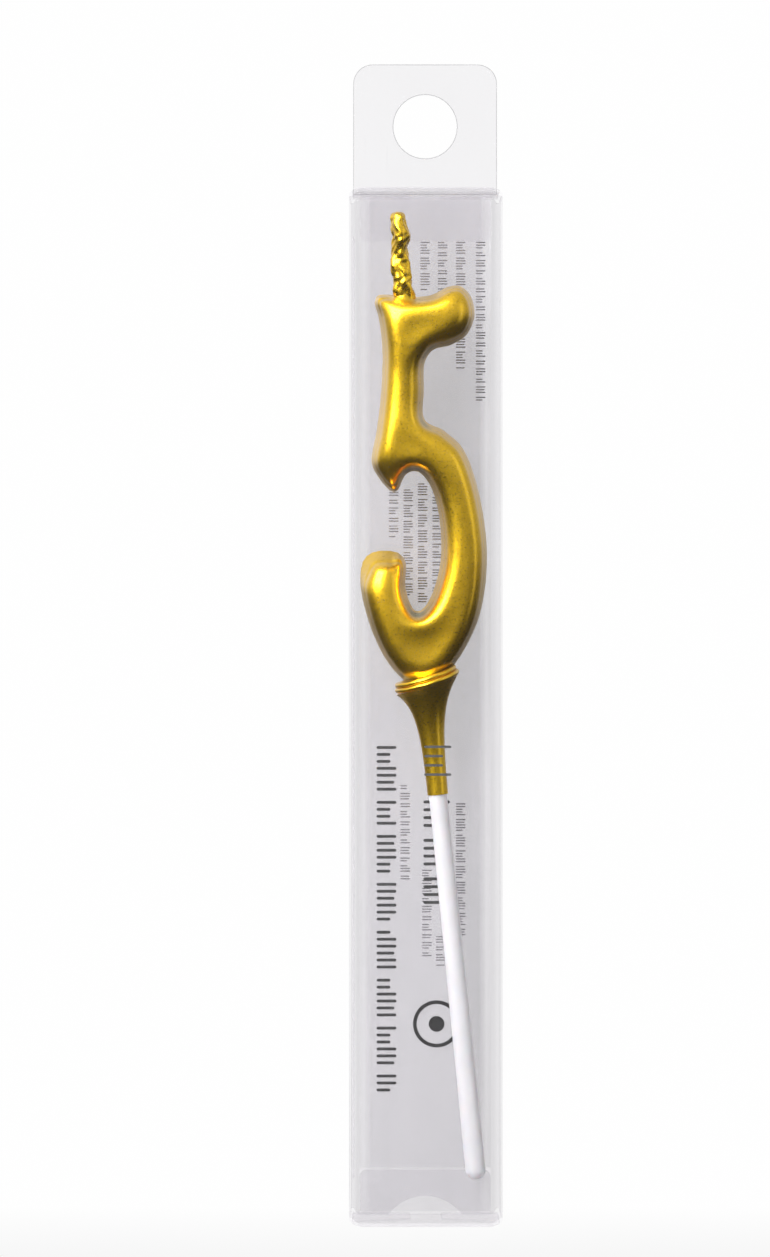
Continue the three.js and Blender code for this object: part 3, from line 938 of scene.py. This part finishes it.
def crease(name, begin, turn_point, end, low, high, place):
    """Folded edge: a strip of film that curves from begin to end past turn_point, where two pieces of
    film meet.
    """
    rows, columns = 8, 24
    begin, turn_point, end = (np.array(p) for p in (begin, turn_point, end))
    path = []
    for k in range(rows + 1):
        s = k / rows
        path.append((1 - s) ** 2 * begin + 2 * s * (1 - s) * turn_point + s * s * end)
    path = np.array(path)
    along = np.gradient(path, axis=0)
    along /= np.linalg.norm(along, axis=1)[:, None]
    out = np.stack([-along[:, 1], along[:, 0]], 1)
    width = columns + 1
    spans = np.linspace(low, high, width)
    points = []
    for side in (1, -1):
        line = path + side * out * SHEET / 2
        for u, v in line:
            points.append(place(np.full(width, u), np.full(width, v), spans))
    total = (rows + 1) * width
    faces = []
    for k in range(rows):
        for i in range(columns):
            a = k * width + i
            faces.append([a, a + 1, a + width + 1, a + width])
            faces.append([total + a, total + a + width, total + a + width + 1, total + a + 1])
    for k in range(rows):
        for a in (k * width, k * width + columns):
            faces.append([a, a + width, total + a + width, total + a])
    for row in (0, rows):
        for i in range(columns):
            a = row * width + i
            faces.append([a, a + 1, total + a + 1, total + a])
    piece = add_piece(name, np.concatenate(points), faces, FLAP_FILM[:1])
    middle = np.array([(low + high) / 2])
    ends = [place(p[:1], p[1:], middle)[0] * MM for p in (begin, end)]
    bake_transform(piece)


def film_piece(piece, body, *nodes):
    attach(piece, body)
    if nodes:
        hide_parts(*nodes)


def across_x(y, z, x):
    """Places a section drawn in Y and Z, swept along X."""
    return np.stack([x, y, z], 1)


def across_y(x, z, y):
    """Places a section drawn in X and Z, swept along Y."""
    return np.stack([x, y, z], 1)


def flipped(place):
    """The same place at the case's other end."""

    def mirrored(u, v, w):
        points = place(u, v, w)
        points[:, 2] = CASE_HEIGHT - points[:, 2]
        return points

    return mirrored


def case_end(part, prefix, over, tuck_film):
    """One tuck end: a lid, its tuck flap, two dust flaps and the creases that join them.

    It is drawn at the top of the case, and over puts it where it belongs.
    """
    lid_z = (LID_LOW[2] + LID_HIGH[2]) / 2
    tuck_y = (TUCK_LOW[1] + TUCK_HIGH[1]) / 2
    tuck_top = TUCK_HIGH[2]
    lid_front = -WALL_MIDDLE + CREASE_RADIUS
    lid_back = tuck_y - CREASE_RADIUS
    lid_half = HALF_WIDTH - LID_INSET

    def lid_wave(u, v):
        curl = LID_CURL * smoothstep(lid_half - LID_CURL_BAND, lid_half, abs(u))
        return LID_BOW * np.cos(u * math.pi / LID_BOW_WIDTH) - curl

    def tuck_wave(u, v):
        bow = TUCK_BOW * smoothstep(0, TUCK_BOW_RISE, tuck_top - v)
        return -bow * np.cos(u * math.pi / TUCK_BOW_WIDTH)

    outline = rounded_outline(-lid_half, lid_half, lid_front, lid_back, (LID_CORNER_RADIUS,) * 4)
    lid = flat_piece(f"{part}_lid_sheet", outline, over(level(lid_z)), wave=lid_wave, film_set=LID_FILM)
    film_piece(lid, f"{prefix}_lid", f"{part}_lid")
    radii = (FLAP_CORNER_RADIUS, 0.0, 0.0, FLAP_CORNER_RADIUS)
    outline = rounded_outline(TUCK_LOW[0], TUCK_HIGH[0], TUCK_LOW[2], tuck_top, radii)
    place = over(upright(tuck_y))
    tuck = flat_piece(f"{part}_tuck_sheet", outline, place, wave=tuck_wave, film_set=tuck_film)
    film_piece(tuck, f"{prefix}_tuck", f"{part}_tuck_flap")
    straight = HALF_WIDTH - 0.7 * CORNER_RADIUS
    crease(
        f"{part}_lid_crease", (-WALL_MIDDLE, FRONT_HIGH[2] - CREASE_LAP), (-WALL_MIDDLE, lid_z),
        (lid_front + CREASE_SIDE_LAP, lid_z), -straight, straight, over(across_x),
    )
    crease(
        f"{part}_tuck_crease", (lid_back - CREASE_SIDE_LAP, lid_z), (tuck_y, lid_z),
        (tuck_y, tuck_top - CREASE_LAP), TUCK_LOW[0], TUCK_HIGH[0], over(across_x),
    )
    dust_z = (DUST_LOW[2] + DUST_HIGH[2]) / 2
    wall = HALF_WIDTH - SHEET / 2
    edge = wall - CREASE_RADIUS
    tip = -DUST_HIGH[0]
    taper = DUST_TAPER_SHARE * (edge - tip)
    front, back = DUST_LOW[1], DUST_HIGH[1]
    corners = [(edge, front), (edge, back), (tip, back - DUST_TIP_ROOM), (tip, front + taper)]
    half_outline = subdivided([np.array(c) for c in corners], 0.5)
    for side, way in (("left", -1), ("right", 1)):
        dust = flat_piece(f"{part}_dust_sheet_{side}", half_outline * (way, 1), over(level(dust_z)))
        film_piece(dust, f"{prefix}_dust_{side}", f"{part}_dust_flap_{side}")
        crease(
            f"{part}_dust_crease_{side}", (way * wall, SIDE_HIGH[2] - CREASE_LAP), (way * wall, dust_z),
            (way * (edge - CREASE_SIDE_LAP), dust_z), front, back, over(across_y),
        )


def hang_tab():
    """Tab with its round hanging hole, and the fold that joins it to the back wall."""
    fold = (BACK_HIGH[2] + TAB_LOW[2]) / 2

    def bow(u, v):
        return -TAB_BOW * smoothstep(fold, TAB_HIGH[2], v) * np.cos(u * 0.12)

    radii = (0.0, TAB_CORNER_RADIUS, TAB_CORNER_RADIUS, 0.0)
    outline = rounded_outline(TAB_LOW[0], TAB_HIGH[0], TAB_LOW[2], TAB_HIGH[2], radii)
    hole = (0.0, CASE_HEIGHT + TAB_HOLE_HEIGHT, TAB_HOLE_RADIUS)
    tab = flat_piece("tab_sheet", outline, upright(WALL_MIDDLE), hole, bow, rings=14, film_set=TAB_FILM)
    film_piece(tab, "tab", "hang_tab")
    crease(
        "tab_crease", (WALL_MIDDLE, BACK_HIGH[2] - CREASE_LAP), (WALL_MIDDLE, fold),
        (WALL_MIDDLE, TAB_LOW[2] + CREASE_LAP), TAB_LOW[0], TAB_HIGH[0], across_x,
    )


def glued_seam():
    """The narrow flap inside the left wall that closes the sleeve."""
    x = (GLUE_LOW[0] + GLUE_HIGH[0]) / 2
    radii = (SEAM_CORNER_RADIUS,) * 4
    outline = rounded_outline(GLUE_LOW[1], GLUE_HIGH[1], GLUE_LOW[2], GLUE_HIGH[2], radii, step=2.0)
    film_piece(flat_piece("seam_sheet", outline, sideways(x), rings=4), "case", "glue_flap")


# ---------------------------------------------------------------- print


def bar(points, faces, x0, x1, z0, z1, y, way):
    """One round-ended bar of ink, from y to a little beyond it towards way."""
    radius = min(x1 - x0, z1 - z0) / 2
    outline = rounded_outline(x0, x1, z0, z1, (radius,) * 4, step=math.inf, arc_steps=2)
    base = sum(len(p) for p in points)
    count = len(outline)
    for out in (INK_LIFT, INK_LIFT + INK):
        points.append(np.stack([outline[:, 0], np.full(count, y + way * out), outline[:, 1]], 1))
    faces.append([base + i for i in range(count)])
    faces.append([base + count + i for i in range(count)])
    faces += ring_quads(base, base + count, count)


def plain_strokes(name, columns, width, stroke, pitch, words, material, y=HALF_DEPTH, way=1):
    """Plain strokes where a line of print would be, running down a wall in groups as long as words.

    columns gives each line's place across the wall, and the heights of its top and bottom.
    """
    points, faces = [], []
    turn = 0
    for x, top, bottom in columns:
        z = top
        left = words[turn % len(words)]
        while z - stroke > bottom:
            begin, end = STROKE_KINDS[(3 * turn * turn + 5 * turn) % len(STROKE_KINDS)]
            x0, x1 = x + (begin - 0.5) * width, x + (end - 0.5) * width
            bar(points, faces, x0, x1, z - stroke, z, y, way)
            turn += 1
            left -= 1
            z -= pitch
            if left <= 0:
                z -= WORD_GAP * pitch
                left = words[turn % len(words)]
    piece = add_piece(name, np.concatenate(points), faces, [material], sharp=30)
    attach(piece, "case")


def roundel():
    """Generic mark: a ring with a dot in it, on the back wall's inner face."""
    points, faces = [], []
    count = 48
    angles = round_angles(count)
    far = INK_LIFT + INK
    for inner, outer in ROUNDEL_BANDS:
        base = sum(len(p) for p in points)
        for radius, y in ((inner, INK_LIFT), (outer, INK_LIFT), (outer, far), (inner, far)):
            points.append(np.stack([ROUNDEL_X + radius * np.cos(angles), np.full(count, INNER_WALL - y),
                                    ROUNDEL_Z + radius * np.sin(angles)], 1))
        for ring in range(4):
            faces += ring_quads(base + ring * count, base + (ring + 1) % 4 * count, count)
    piece = add_piece("print_roundel", np.concatenate(points), faces, [DARK_INK], sharp=30)
    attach(piece, "case")


def printing():
    """Small lines, two headings and a roundel on the back wall, and a few strokes on the front."""
    small = [
        (0.0, 161, 153), (2.9, 161, 150), (5.9, 161, 140), (9.2, 161, 134),
        (-5.2, 120, 112), (-2.8, 120, 102), (-0.4, 121, 101), (2.0, 120, 102),
        (-3.3, 71, 55), (0.3, 57, 42), (2.6, 46, 41), (5.9, 68, 46),
    ]
    plain_strokes("print_small_lines", small, 1.6, 0.2, 0.44, (5, 3, 6, 4, 2), PALE_INK)
    for name, column, width, stroke, pitch, words, y in (
        ("print_heading", (-6.4, 77.5, 19.5), 3.3, 0.48, 1.15, (7, 4, 6), INNER_WALL),
        ("print_second_heading", (1.9, 68.5, 50.0), 4.4, 0.5, 1.3, (4, 3), INNER_WALL),
        ("print_front_strokes", (1.9, 78.0, 70.3), 4.4, 0.4, 1.5, (4, 3), -HALF_DEPTH),
    ):
        plain_strokes(name, [column], width, stroke, pitch, words, HEADING_INK, y, way=-1)
    roundel()


# ---------------------------------------------------------------- stage


def floor():
    """Pale floor: to the eye it glows near white, greyed in front of the case by painted shade; other
    rays find it matt.
    """
    nodes = material_nodes("floor")
    place = nodes.split(nodes.add("ShaderNodeNewGeometry").outputs["Position"])
    glow = nodes.add("ShaderNodeEmission")
    # Painted shade: the glow dims towards the front of the case
    nodes.link(nodes.span(place["Y"], -0.06, 0.02, 0.9, 0.995), glow.inputs["Strength"])
    matt = nodes.add("ShaderNodeBsdfDiffuse")
    matt.inputs["Color"].default_value = (0.8, 0.8, 0.8, 1)
    seen = nodes.add("ShaderNodeLightPath").outputs["Is Camera Ray"]
    mesh = bpy.data.meshes.new("floor")
    half = FLOOR_HALF
    corners = [(-half, -half, 0), (half, -half, 0), (half, half, 0), (-half, half, 0)]
    mesh.from_pydata(corners, [], [(0, 1, 2, 3)])
    mesh.materials.append(nodes.finish(nodes.mixed(seen, matt.outputs["BSDF"], glow.outputs["Emission"])))
    plane = add_object("floor", mesh)
    plane.location.z = -FLOOR_DROP
    plane.visible_glossy = False


def studio():
    """White backdrop for the eye, and a grey room for reflections: bright to the left, dark low down."""
    nodes = Nodes(bpy.data.worlds.new("studio"), "ShaderNodeOutputWorld")
    way = nodes.split(nodes.add("ShaderNodeTexCoord").outputs["Generated"])
    left = nodes.span(way["X"], -0.6, 0.75, 1.7, 1.0, interpolation_type="SMOOTHSTEP")
    height = nodes.span(way["Z"], -0.24, 0.16, 0.06, 0.95, interpolation_type="SMOOTHSTEP")
    behind = nodes.span(way["Y"], -0.5, 0.2, 1.0, 0.95, interpolation_type="SMOOTHSTEP")
    room = nodes.add("ShaderNodeBackground")
    strength = nodes.math("MULTIPLY", nodes.math("MULTIPLY", left, height), behind)
    nodes.link(strength, room.inputs["Strength"])
    white = nodes.add("ShaderNodeBackground")
    white.inputs["Color"].default_value = (0.995, 0.995, 0.995, 1)
    seen = nodes.add("ShaderNodeLightPath").outputs["Is Camera Ray"]
    surface = nodes.mixed(seen, room.outputs["Background"], white.outputs["Background"])
    scene.world = nodes.finish(surface)


def softbox(name, side, up, distance, width, height, power, shines=True, lights=True):
    """Rectangular lamp that faces the case's middle. side and up are angles from the front, in degrees.

    A lamp that shines is seen in glossy surfaces, and one that lights falls on matt ones.
    """
    lamp = bpy.data.lights.new(name, "AREA")
    lamp.shape = "RECTANGLE"
    lamp.size, lamp.size_y = width, height
    lamp.energy = power
    holder = add_object(name, lamp)
    holder.visible_glossy = shines
    holder.visible_diffuse = lights
    s, e = math.radians(side), math.radians(up)
    target = np.array([0, 0, CASE_HEIGHT * 0.6 * MM])
    way = np.array([math.sin(s) * math.cos(e), -math.cos(s) * math.cos(e), math.sin(e)])
    holder.location = target + way * distance
    holder.rotation_mode = "QUATERNION"
    holder.rotation_quaternion = Vector(-way).to_track_quat("-Z", "Y")


def camera():
    """Level camera in front of the case, a little to its left."""
    data = bpy.data.cameras.new("camera")
    data.sensor_width = 36.0
    data.lens = CAMERA_LENS
    data.clip_start, data.clip_end = 0.01, 50.0
    data.dof.use_dof = False
    holder = add_object("camera", data)
    holder.location = (CAMERA_X * MM, -(HALF_DEPTH + CAMERA_DISTANCE) * MM, CAMERA_Z * MM)
    holder.rotation_euler = (math.pi / 2, 0, 0)
    scene.camera = holder


camera()

for piece, node, slot in (
    (number_body(), "number_body", "gold_coating"),
    (collar_ring(), "collar_ring", "gold_coating"),
    (flared_neck(), "flared_neck", "gold_coating"),
    (candle_stick(), "stick", "white_plastic"),
    (candle_wick(), "wick", "gold_wick"),
):
    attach(piece, "candle")
    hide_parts(node)

film_piece(sleeve(), "case", "front_panel", "back_panel", "left_side_panel", "right_side_panel")
glued_seam()
hang_tab()
case_end("top", "upper", lambda place: place, [FLAP_FILM[0], FLAP_FILM[0]])
case_end("bottom", "lower", flipped, TUCK_FILM)
printing()

floor()
studio()
softbox("key", side=-43, up=38, distance=0.65, width=0.34, height=0.52, power=9.0, shines=False)
softbox("gloss", side=-38, up=33, distance=0.65, width=0.48, height=0.56, power=13.0, lights=False)
softbox("fill", side=62, up=8, distance=0.8, width=0.3, height=0.7, power=0.5)
scene.view_settings.view_transform = "Standard"
scene.cycles.transparent_max_bounces = 32
